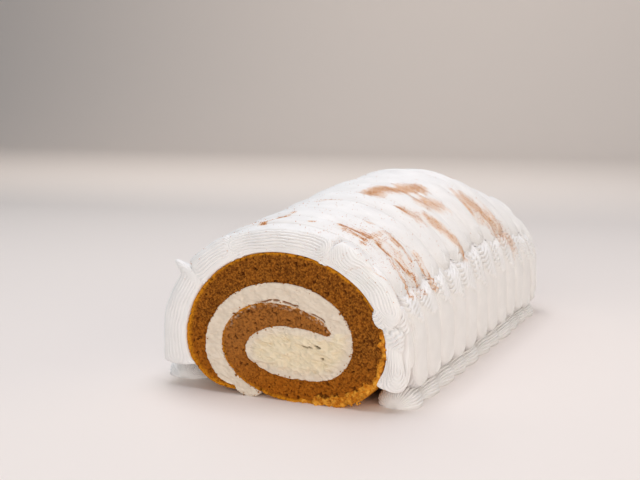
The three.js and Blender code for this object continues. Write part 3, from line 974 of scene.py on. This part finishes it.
def below_neighbours(height, reach):
    """How far each point of a grid lies below the mean of the points up to reach away across the grid.
    The means come from one running sum."""
    padded = np.pad(height, ((0, 0), (reach + 1, reach)), mode="edge")
    total = np.cumsum(padded, axis=1)
    window = 2 * reach + 1
    return np.maximum((total[:, window:] - total[:, :-window]) / window - height, 0)


def with_lids(*parts):
    """A field for every vertex of a tube from its parts across the rings, and 0 for the two lids."""
    return np.concatenate([np.concatenate(parts, axis=1).ravel(), [0, 0]])


def piped_stroke(name, seams, ends, height, steps, nodes, w=None, sag=0.0):
    """A closed stroke between two seams, y as functions of the distance round the coat, and two ends, the
    distance round as functions of w. height(around, y, w, from_start, from_end, across) gives two heights
    in mm: of the body, straight out from the sponge, and of the ridges, straight out from the body. steps
    says how many points lie along and across. The values of w are even unless they are given. Near its
    start the stroke hangs down by sag * exp(-(from_start / HANGING)^2), in proportion to its height."""
    w = (np.linspace(-1, 1, steps[1]) if w is None else w)[None, :]
    w_below = np.linspace(1, -1, 8)[None, 1:-1]
    length = float(ends[1](np.zeros(1))[0] - ends[0](np.zeros(1))[0])
    eased = end_spacing(steps[0], length, 5.0, 9.0)[:, None]

    def surface(w_here):
        start, end = ends[0](w_here), ends[1](w_here)
        around = start + (end - start) * eased
        near, far = seams[0](around), seams[1](around)
        y = (near + far) / 2 + w_here * (far - near) / 2
        return around, y, around - start, end - around, (far - near) / 2

    around, y, from_start, from_end, half_width = surface(w)
    body, ridged = height(around, y, w, from_start, from_end, w * half_width)
    outwards = on_roll(around, y, 1.0) - on_roll(around, y, 0.0)
    top = pushed_out(on_roll(around, y, body), outwards, ridged)
    top[..., 2] -= sag * np.exp(-((from_start / HANGING) ** 2)) * np.clip(body / 9, 0, 1)
    area = np.linalg.norm(np.cross(np.gradient(top, axis=0), np.gradient(top, axis=1)), axis=-1)
    spice = cinnamon(around, y)
    rows = np.concatenate([top, outwards, area[..., None], spice[..., None]], axis=-1)
    icing_tops.append(rows.reshape(-1, 8))
    below_around, below_y, *_ = surface(w_below)
    points, triangles = tube(np.concatenate([top, on_roll(below_around, below_y, SUNK)], axis=1))
    nothing = np.zeros(below_y.shape)
    fields = {
        "cinnamon": with_lids(spice, nothing),
        # groove: painted shade, by how far a point lies below its neighbours across the stroke
        "groove": with_lids(below_neighbours(ridged, 6), nothing),
    }
    finished(name, points, triangles, icing_finish.material, nodes, fields)


# %% [markdown]
# ## The strokes over the top
# Twelve strokes cross the top side by side, the first and the last narrower than the rest. A seam is
# shared by the two strokes it parts, and each stroke reaches a little past it, so they sink into each
# other as soft icing does.

# %% Seams and the strokes over the top
RIM_DEPTH, END_STROKE, STROKES = 13.0, 14.0, 12
FIRST_WIDE, LAST_WIDE = RIM_DEPTH + END_STROKE, ROLL_LENGTH - RIM_DEPTH - END_STROKE
SEAM_PLACES = np.concatenate([
    [RIM_DEPTH], np.linspace(FIRST_WIDE, LAST_WIDE, STROKES - 1), [ROLL_LENGTH - RIM_DEPTH]])
STROKE_PROUD, RIDGE_PITCH = 2.2, 1.3
SEAM_REACH = 0.7  # how far a stroke reaches past its seams
SIDE_FOLD = (round_at(21.0), round_at(159.0))  # where the strokes over the top end on those up the walls
LOBE_FORWARD = 4  # how far the first seam comes forward round the lobe of the shoulder stroke


def seam(number, reach=0.0):
    """The y of a seam as a function of the distance round the coat: its place along the roll, wandering by
    under a millimetre, 3 mm further back down the right wall, and moved by reach."""
    def at(around):
        wander = 0.9 * noise(around / 38, 7.0 * number, 111)
        if number == 0:
            past_lobe = smooth_step(around, round_at(30), round_at(50))
            lobe_side = smooth_step(around, round_at(8), round_at(17)) * (1 - past_lobe)
            return SEAM_PLACES[0] + 0.3 * wander - LOBE_FORWARD * lobe_side + reach
        if number == STROKES:
            return SEAM_PLACES[-1] + 0.3 * wander + reach
        return SEAM_PLACES[number] + wander + 3 * (1 - smooth_step(around, 15, SIDE_FOLD[0] + 12)) + reach
    return at


def thick(around):
    """The icing's thickness in the seams at a distance round the coat."""
    return np.interp(around, round_coat, coat_thickness)


def over_height(seed):
    """The height of a stroke over the top: a bead on the icing's thickness, with lengthwise ridges that
    turn round its lobes."""
    def height(around, y, w, from_start, from_end, across):
        drop = end_drop(from_start, 4.5) * end_drop(from_end, 4.5)
        broad = np.ptp(y, axis=1, keepdims=True) / (SEAM_PLACES[2] - SEAM_PLACES[1])
        bulge = STROKE_PROUD * broad * bead(w) * (0.8 + 0.35 * noise(around / 25, y / 15, seed))
        lobe_depth = np.maximum(0, 10 - np.minimum(from_start, from_end))
        wander = 0.6 * noise(around / 14, across / 5, seed + 1)
        phase = (np.hypot(across, lobe_depth) + wander) / RIDGE_PITCH
        near_lobe = smooth_step(lobe_depth, 0, 4)
        worn = np.maximum(0.6 + 0.4 * noise(around / 12, y / 4, seed + 2), near_lobe)
        fine = 0.52 * worn * ridges(phase) + 0.3 * noise(around / 9, y / 7, seed + 3)
        sunk_end = 0.7 * (1 - smooth_step(np.minimum(from_start, from_end), 0, 9))
        body = SUNK + (thick(around) - SUNK + bulge - sunk_end) * (0.8 + 0.2 * drop)
        return body, fine * smooth_step(drop, 0, 0.4) * (1 - smooth_step(np.abs(w), 0.93, 1.0))
    return height


def leaning_lobe(round_to, direction):
    """A lobe that reaches furthest at w = -0.3 and falls back 7 mm at the far seam: 7 (1 - bead(share)),
    the share being the way from there to the seam."""
    return lambda w: round_to + direction * 7 * (1 - bead((w + 0.3) / np.where(w < -0.3, 0.9, 1.3)))


for number in range(STROKES):
    random = np.random.default_rng(200 + number)
    right_end = SIDE_FOLD[0] - 1.0 + random.uniform(-3.0, 3.0)
    left_end = SIDE_FOLD[1] + 1.0 + random.uniform(-3.0, 3.0)
    piped_stroke(
        f"icing_over_{number + 1:02d}",
        (seam(number, -SEAM_REACH), seam(number + 1, SEAM_REACH)),
        (leaning_lobe(right_end, 1), leaning_lobe(left_end, -1)),
        over_height(210 + 10 * number),
        (150, 76),
        ["icing_coat"],
    )

# %% [markdown]
# ## The strokes up the walls
# Up the walls the nozzle was dragged: low down the surface is almost smooth, and at the top the icing
# folded over sideways. There the ridges lean over and end along the far seam in a row of small teeth.
# Above the fold each stroke is tucked in, so that the lobes of the strokes over the top lie on it.


# %% The folded pattern and the wall strokes
LEAN = 1.1  # how far the folded ridges run sideways for each millimetre up
FOLD_PITCH = 2.3  # between two folded ridges, along the roll
WALL_FOOT = 4.5  # distance round the coat at which the wall strokes start, behind the borders


def folded_ridges(sideways, up, w, fold_line, wander):
    """Upright ridges, folded ridges and how far the icing has folded, 0 to 1. Upright ridges run straight
    up and turn round the foot. Folded ones lean: phase = (sideways - LEAN * rise) / pitch, with a steeper
    column beside the far seam."""
    past = np.maximum(up - fold_line, 0)
    rise = past**2 / (past + 1.2)
    lean = LEAN * (1 - 0.45 * smooth_step(w, 0.42, 0.5))
    upright = ridges((np.hypot(sideways, np.maximum(0, 9 - up)) + wander) / RIDGE_PITCH)
    leaning = ridges((sideways - lean * rise + wander) / FOLD_PITCH)
    return upright, leaning, smooth_step(past, 0.0, 2.0)


def wall_height(seed, fold_at, direction):
    """The height of a wall stroke: a bead with upright ridges, faint in the middle of the wall, and folded
    ones above them that stand much higher and dent the far seam."""
    def height(around, y, w, from_start, from_end, across):
        up = from_start if direction > 0 else from_end
        top = from_end if direction > 0 else from_start
        fold_line = fold_at - 4.5 * w + 1.2 * noise(y / 3, 0.0, seed + 4)
        wander = 0.4 * noise(y / 4, up / 7, seed + 5)
        upright, leaning, folded = folded_ridges(across, up, w, fold_line, wander)
        swell = 0.9 + 0.2 * noise(around / 20, 0.0, seed)
        bulge = STROKE_PROUD * 1.1 * bead(w + 0.1 * leaning * folded) * swell
        grooved = 0.08 + 0.24 * smooth_step(np.abs(w), 0.4, 0.85) + 0.24 * (1 - smooth_step(up, 4, 9))
        uneven = 0.22 * noise(around / 8, y / 6, seed + 6)
        fine = grooved * (1 - folded) * upright + 0.55 * folded * leaning + uneven
        fold_place = SIDE_FOLD[0] if direction > 0 else round_coat[-1] - SIDE_FOLD[1]
        level = up + WALL_FOOT - fold_place
        tucked = 1.5 * smooth_step(level, -3, 3) + 3.0 * smooth_step(level, 12, 18)
        bulge = bulge * (1 - 0.9 * smooth_step(level, -1, 6))
        drop = end_drop(up, 5) * end_drop(top, 2.5)
        body = SUNK + (thick(around) - SUNK + bulge * drop + 0.4 * folded - tucked) * drop
        return body, fine * smooth_step(drop, 0, 0.4) * (1 - smooth_step(np.abs(w), 0.93, 1.0))
    return height


def wall_ends(foot, top, direction):
    """A wall stroke's low end, curved 5 mm down in the middle, and its straight high end, in the order of
    the distance round the coat."""
    if direction > 0:
        return (lambda w: foot + 5 * (1 - bead(w))), (lambda w: top + 0 * w)
    return (lambda w: round_coat[-1] - top + 0 * w), (lambda w: round_coat[-1] - foot - 5 * (1 - bead(w)))


for side, direction, steps in (("right", 1, (200, 74)), ("left", -1, (130, 66))):
    for number in range(STROKES):
        random = np.random.default_rng(400 + number + 50 * direction)
        foot = WALL_FOOT + random.uniform(-1.0, 1.0)
        top = SIDE_FOLD[0] + 20 + random.uniform(-1.0, 1.5)
        fold_at = random.uniform(28, 33)
        piped_stroke(
            f"icing_{side}_{number + 1:02d}",
            (seam(number, -SEAM_REACH), seam(number + 1, SEAM_REACH)),
            wall_ends(foot, top, direction),
            wall_height(500 + 10 * number + 200 * direction, fold_at, direction),
            steps,
            ["icing_coat"],
        )

# %% [markdown]
# ## The strokes round the cut faces
# Five strokes frame each cut face. Their section rises steeply from the sponge's skin like a quarter of
# a bead, is fullest a few millimetres behind the cut and sinks slowly to the seam with the coat. Points
# are spaced evenly round that section, so the steep side next to the cut is as finely made as the rest.
# The two on the right hang down in round lobes. The lower of them is parted in two columns and folded
# at its top as the walls are. At the upper end of the left one the nozzle pulled the icing to a point.

# %% The section of a rim stroke
RIM_STROKES = {  # degrees where a stroke starts and ends, and how fully it is piped
    "side": (-15.5, 22.0, 0.98),
    "shoulder": (12.0, 62.0, 1.1),
    "top": (57.0, 122.0, 0.97),
    "slope": (114.0, 146.0, 1.05),
    "left": (142.0, 194.5, 0.98),
}
SAGS = {"side": 4.0, "shoulder": 2.5}  # how far a stroke hangs down at its start
PEAK = 7.0  # the pulled-out point at the upper end of the left stroke
RIM_REACH = 0.4  # how far a rim stroke reaches past its seam with the coat
RIM_CREST = 4.6  # how far behind the cut face a rim stroke is fullest
PARTING = 3.7  # how far behind the cut face the right hand stroke is parted in two columns


def rim_section(behind):
    """Share of its full height at a distance behind the cut: (1 - rise^2.2)^(1/2.2), where rise is the
    distance before the crest as a share."""
    rise = np.clip(1 - behind / RIM_CREST, 0, 1)
    return 0.05 + 0.95 * (1 - rise**2.2) ** (1 / 2.2)


RIM_TALL = 10.5  # about how thick the icing of a rim stroke is, for spacing its points
behind_table = np.linspace(0, RIM_DEPTH, 2000)
tall_table = RIM_TALL * rim_section(behind_table)
arc_table = np.concatenate([[0], np.cumsum(np.hypot(np.diff(behind_table), np.diff(tall_table)))])
print(f"Over a rim stroke, from the cut to the seam: {arc_table[-1]:.1f} mm")


def over_section(w):
    """The distance over the section from the cut to a place across the stroke."""
    return np.interp((w + 1) / 2 * RIM_DEPTH, behind_table, arc_table)


def rim_spacing(count):
    """Values of w at equal distances over the section."""
    return 2 * np.interp(np.linspace(0, arc_table[-1], count), arc_table, behind_table) / RIM_DEPTH - 1


# %% The rim strokes
LOBE_ARC = 6.0  # the place over the section that the lobes and their ridges turn round


def rim_end(place_round, direction, free):
    """The end of a rim stroke, a lobe on its steep side. It lies length * (1 - bead(share)) short of its
    furthest, the share being the distance over the section from the middle of the lobe out of the lobe's
    half width. A free lobe is rounder towards the cut. One that lies against the coat is held at a share
    of 0.4 there, so that it leaves no gap."""
    near_width, near_length, furthest = (6.4, 9.0, 1.0) if free else (9.0, 8.0, 0.4)

    def end(w):
        away = over_section(w) - LOBE_ARC
        half_width = np.where(away < 0, near_width, 9.0)
        length = np.where(away < 0, near_length, 8.0)
        return place_round + direction * length * (1 - bead(np.clip(away / half_width, -1, furthest)))
    return end


def cut_edge(seed, flipped):
    """The y of a rim stroke's edge at its cut face as a function of the distance round, ragged by noise."""
    def at(around):
        behind = 0.4 * noise(around / 9, 0.0, seed) + 0.1
        return ROLL_LENGTH - behind if flipped else behind
    return at


def rim_height(place_name, fullest, seed):
    """The height of a rim stroke: its section with ridges by the distance over it. The side stroke has the
    folded pattern of the walls, a waist, and a valley, depth * exp(-(distance / 0.9)^2), that parts it.
    The ridges of the shoulder stroke come in from outside and waver. The left stroke has the peak."""
    def height(around, y, w, from_start, from_end, across):
        behind = (w + 1) / 2 * RIM_DEPTH
        over = over_section(w)
        full = fullest * np.interp(around, round_coat, rim_thickness)
        drop = end_drop(from_start, 6) * end_drop(from_end, 4)
        wander = 0.5 * noise(around / 14, 0.0, seed) + 0.25 * noise(around / 5, over / 3, seed + 1)
        worn = 0.75 + 0.35 * noise(around / 9, over / 5, seed + 7)
        depth = 0.37 * worn * smooth_step(over, 0.0, 2.0) * (1 - 0.6 * smooth_step(over, 8.5, 12))
        lump = 0.3 * noise(around / 8, over / 6, seed + 2)
        peak, low = 0.0, 0.0
        if place_name == "side":
            second = smooth_step(behind, PARTING - 0.3, PARTING + 0.3)
            inwards = behind - PARTING * second
            fold_line = 18.5 + 5.0 * second - 0.5 * inwards + noise(over / 3, 0.0, seed + 4)
            upright, leaning, folded = folded_ridges(over - LOBE_ARC, from_start, w, fold_line, wander)
            left_edge = 1 - smooth_step(over, 3, 6)
            foot = 1 - smooth_step(from_start, 8, 14)
            depth = 0.07 + 0.1 * left_edge + 0.28 * foot
            waist = 1.3 * np.exp(-(((from_start - 17) / 6) ** 2))
            tucked = 4.2 * smooth_step(from_start, 25, 30) * (1 - second)
            parting = 2.6 * np.exp(-(((behind - PARTING) / 0.9) ** 2)) * smooth_step(from_start, 3, 10)
            lump = lump + depth * (1 - folded) * upright + 0.62 * folded * leaning
            low = waist * (1 - second) + tucked + parting - 0.6 * folded
        else:
            if place_name == "shoulder":
                coming_in = 11 * np.square(np.clip(1 - from_end / 15, 0, 1))
                wave = 1.7 * np.sin(2 * math.pi * (from_start / 42 + 0.22)) * smooth_step(from_start, 4, 12)
                wander = wander + wave - coming_in
                full = full * (1 - 0.12 * np.exp(-(((from_start - 25) / 4.5) ** 2)))
                depth = depth * (1.15 - 0.35 * smooth_step(over, 7, 10))
            elif place_name == "left":
                peak = PEAK * np.exp(-(((from_start - 4.5) / 2.2) ** 2) - ((behind - 3.8) / 2.8) ** 2)
                depth = 0.6 * depth
            elif place_name == "slope":
                depth = 0.8 * depth
            rounding = np.maximum(0, 8 - np.minimum(from_start, from_end + 3))
            phase = np.hypot(over - LOBE_ARC + wander, rounding) / RIDGE_PITCH
            lump = lump + depth * ridges(phase)
        to_seam = np.square(np.clip((behind - RIM_CREST) / (RIM_DEPTH - RIM_CREST), 0, 1))
        body = (full - SUNK) * rim_section(behind) + (thick(around) - full) * to_seam
        body = SUNK + (body - low * smooth_step(over, 0.0, 1.2)) * drop + peak
        return body, lump * smooth_step(over, 0.0, 1.2) * smooth_step(drop, 0, 0.4)
    return height


for end_name, flipped in (("front", False), ("back", True)):
    for index, (place_name, (from_degrees, to_degrees, fullest)) in enumerate(RIM_STROKES.items()):
        seed = 900 + 10 * index + 100 * flipped
        coat_seam = seam(STROKES, -RIM_REACH) if flipped else seam(0, RIM_REACH)
        starts, stops = round_at(from_degrees), round_at(to_degrees)
        points_over, ring_gap = (84, 0.6) if flipped else (128, 0.4)  # coarser at the back
        spacing = rim_spacing(points_over)
        rings = int((stops - starts) / ring_gap)
        piped_stroke(
            f"{end_name}_rim_{place_name}",
            (cut_edge(seed, flipped), coat_seam),
            (rim_end(starts, 1, place_name in SAGS), rim_end(stops, -1, False)),
            rim_height(place_name, fullest, seed),
            (rings, len(spacing)),
            [f"{end_name}_rim_{place_name}"],
            spacing,
            SAGS.get(place_name, 0.0),
        )

# %% [markdown]
# ## The borders
# Along each foot lies a border piped in ruffles: the nozzle was pushed out, held and pulled on again
# and again. Each ruffle widens slowly and closes quickly, and its ridges close with it.

# %% The borders
RUFFLES = 11
BORDERS = {  # x of the middle, half width, height, how far it stays back from the cut faces, way outwards
    "right": (52.5, 10.5, 10.2, 8.0, 1),
    "left": (-62.0, 13.0, 10.2, 15.0, -1),
}
BORDER_RINGS, BORDER_ROUND = 470, 84
BORDER_PITCH = 1.7  # between two ridges, round the border
BORDER_RADIUS = 10.5  # of the half circle that the ridges are counted on
JOG = 2.4  # how far the ridges jump round the border where a ruffle closes
SHALLOW = 0.4  # share of the painted groove shade kept on a border, which light reaches from all round


def ruffled(along, length, seed):
    """A border's size as a share of its largest, and the place in its ruffle, 0 to 1. In each ruffle the
    size grows by a smooth step over two thirds and closes by a smooth step over the last eighth."""
    count = along / length * RUFFLES + 0.32 + 0.15 * noise(along / 30, 0.0, seed)
    share = count % 1
    open_share = smooth_step(share, 0.0, 0.65) * (1 - smooth_step(share, 0.87, 1.0))
    size = 0.92 + 0.1 * noise(np.floor(count) * 1.37, 0.5, seed + 1)
    return size * (0.7 + 0.3 * open_share), share


for side, (centre, half_width, tall, back_by, outwards) in BORDERS.items():
    seed = 1200 + 50 * outwards
    length = ROLL_LENGTH - 2 * back_by
    along = np.linspace(0, length, BORDER_RINGS)[:, None]
    angle = np.linspace(0, math.pi, BORDER_ROUND)[None, :]
    size, share = ruffled(along, length, seed)
    drop = end_drop(along, 7) * end_drop(length - along, 7)
    jump = JOG * smooth_step(share, 0.86, 1.0) - JOG * smooth_step(share, 0.0, 0.3)
    phase = (angle * BORDER_RADIUS * outwards + jump + 0.6 * noise(along / 12, 0, seed)) / BORDER_PITCH
    fine = 0.8 * ridges(phase) * np.sin(angle) ** 0.25 + 0.35 * noise(along / 6, angle * 2.5, seed + 2)
    ridged = fine * smooth_step(drop, 0.0, 0.6)
    reach = size * half_width * drop + ridged
    rise = size * tall * drop + ridged
    x = centre + outwards * reach * np.cos(angle)
    z = rise * np.sin(angle) ** 0.9
    y = back_by + along
    under = np.linspace(-1, 1, 8)[None, 1:-1]
    x_under = centre + outwards * under * reach[:, :1]
    points, triangles = tube(np.concatenate([raised(x, y, z), raised(x_under, y, 0 * x_under)], axis=1))
    # Painted shade in the border's grooves, weaker than on the strokes.
    groove = with_lids(SHALLOW * below_neighbours(ridged, 4), np.zeros(x_under.shape))
    finished(
        f"border_{side}", points, triangles, icing_finish.material, [f"border_{side}"],
        {"cinnamon": np.zeros(len(points)), "groove": groove})

# %% [markdown]
# ## Loose grains
# Ground cinnamon is also there as separate grains. They are thrown at random on the icing, more often
# where the streaks are and now and then elsewhere on the top. Each is a small crooked octahedron, eight
# faces, so that thousands of them stay light. Crumbs have fallen from the sponge in the same way: they
# cling to the torn skin, to the cream near the wraps, and one hangs below the torn edge.


# %% Scattered lumps
OCTAHEDRON = np.array([(1, 0, 0), (-1, 0, 0), (0, 1, 0), (0, -1, 0), (0, 0, 1), (0, 0, -1)], float)
OCTAHEDRON_FACES = np.array([
    (0, 2, 4), (2, 1, 4), (1, 3, 4), (3, 0, 4), (2, 0, 5), (1, 2, 5), (3, 1, 5), (0, 3, 5)])


def scattered(middles, radii, crooked, random):
    """Points and triangles of one crooked octahedron at each middle: its corners lie at the radius times
    1 plus or minus crooked, on axes turned at random."""
    turned = np.linalg.qr(random.normal(size=(len(middles), 3, 3)))[0]
    turned *= np.sign(np.linalg.det(turned))[:, None, None]
    lengths = radii[:, None] * random.uniform(1 - crooked, 1 + crooked, (len(middles), 6))
    corners = middles[:, None] + np.einsum("nij,kj->nki", turned, OCTAHEDRON) * lengths[..., None]
    faces = OCTAHEDRON_FACES[None] + 6 * np.arange(len(middles))[:, None, None]
    return corners.reshape(-1, 3), faces.reshape(-1, 3)


# %% Cinnamon grains
GRAINS = 18000
GRAIN_RADII = (0.08, 0.28)  # mm
DUST = 0.012  # chance of a grain on top where there is no streak, against 1 in a streak of strength 1
STRAY = 0.1  # further chance on the right of the top near the front streaks
STRAY_AT, STRAY_REACH = 25, 15  # where along the roll those strays lie, and how far they spread
LIFTED, SHAKEN = 0.04, 0.12  # how far a grain lies above the icing, and off in every direction
cinnamon_finish = Finish("ground_cinnamon", 0.9, 0.1)
cinnamon_finish.colour(cinnamon_finish.mixed(
    cinnamon_finish.ranged(cinnamon_finish.cloud(0.8, 2.0), 0.35, 0.65),
    linear(158, 88, 28), linear(206, 130, 62)))
cinnamon_finish.relief(cinnamon_finish.cloud(0.2, 2.0), 0.03, 0.6)

random = np.random.default_rng(1400)
everywhere = np.concatenate(icing_tops)
top_x, top_y, _, _, _, upwards, area, spice = everywhere.T
on_top = smooth_step(upwards, 0.25, 0.8) * (1 - 0.7 * smooth_step(top_y, 60, 130))
stray = STRAY * np.exp(-(((top_y - STRAY_AT) / STRAY_REACH) ** 2)) * smooth_step(top_x, 8, 30)
chance = area * (np.clip(spice, 0, 1) + (DUST + stray) * on_top)
chosen = everywhere[random.choice(len(everywhere), GRAINS, p=chance / chance.sum())]
shaken = random.uniform(-SHAKEN, SHAKEN, (GRAINS, 3))
grain_radii = GRAIN_RADII[0] + np.ptp(GRAIN_RADII) * random.random(GRAINS) ** 2
points, triangles = scattered(chosen[:, :3] + LIFTED * chosen[:, 3:6] + shaken, grain_radii, 0.35, random)
finished("cinnamon_grains", points, triangles, cinnamon_finish.material, [])

# %% Sponge crumbs
CRUMBS = 520
FROM_SKIN = 260  # of which so many cling to the torn skin, and the rest to the edges of the cream
STRIP_ACROSS = 16  # points across the cut, from the skin, in which the torn strip lies
CRUMB_RADII = (0.16, 0.66)  # mm
HANGING_RADIUS = 0.62
HANGING_CRUMBS = np.array([
    (38.6, -0.6, 5.6), (38.9, -0.8, 4.6), (38.2, -0.7, 4.0), (39.3, -0.6, 3.5), (38.5, -0.7, 2.9),
    (37.9, -0.6, 3.3)])

random = np.random.default_rng(1500)
strip_x, strip_z = front_x[:, :STRIP_ACROSS].ravel(), front_z[:, :STRIP_ACROSS].ravel()
on_strip = (front_fields["golden"][:, :STRIP_ACROSS].ravel() > 0.4).astype(float)
edge_x = np.concatenate([near_x[:, 1], near_x[:BAND_STEPS, -2]])
edge_z = np.concatenate([near_z[:, 1], near_z[:BAND_STEPS, -2]])
by_skin = random.choice(len(strip_x), FROM_SKIN, p=on_strip / on_strip.sum())
by_cream = random.integers(0, len(edge_x), CRUMBS - FROM_SKIN)
crumb_x = np.concatenate([strip_x[by_skin], edge_x[by_cream]]) + random.uniform(-0.8, 0.8, CRUMBS)
crumb_z = np.concatenate([strip_z[by_skin], edge_z[by_cream]]) + random.uniform(-0.8, 0.8, CRUMBS)
crumb_y = random.uniform(-0.1, 0.5, CRUMBS)
loose_crumbs = np.stack([crumb_x, crumb_y, np.maximum(crumb_z, 0.4)], axis=-1)
crumb_radii = CRUMB_RADII[0] + np.ptp(CRUMB_RADII) * random.random(CRUMBS) ** 3
points, triangles = scattered(
    np.concatenate([loose_crumbs, HANGING_CRUMBS]),
    np.concatenate([crumb_radii, np.full(len(HANGING_CRUMBS), HANGING_RADIUS)]), 0.4, random)
golden = np.full(CRUMBS + len(HANGING_CRUMBS), 0.9)
golden[FROM_SKIN:CRUMBS] = 0.25
crumb_fields = {name: np.zeros(len(points)) for name in SPONGE_FIELDS}
crumb_fields["golden"] = np.repeat(golden, 6)
finished("sponge_crumbs", points, triangles, sponge_finish.material, [], crumb_fields)

# %% Size of the finished cake
print(f"{sum(finished_sizes)} triangles in {len(finished_sizes)} pieces")
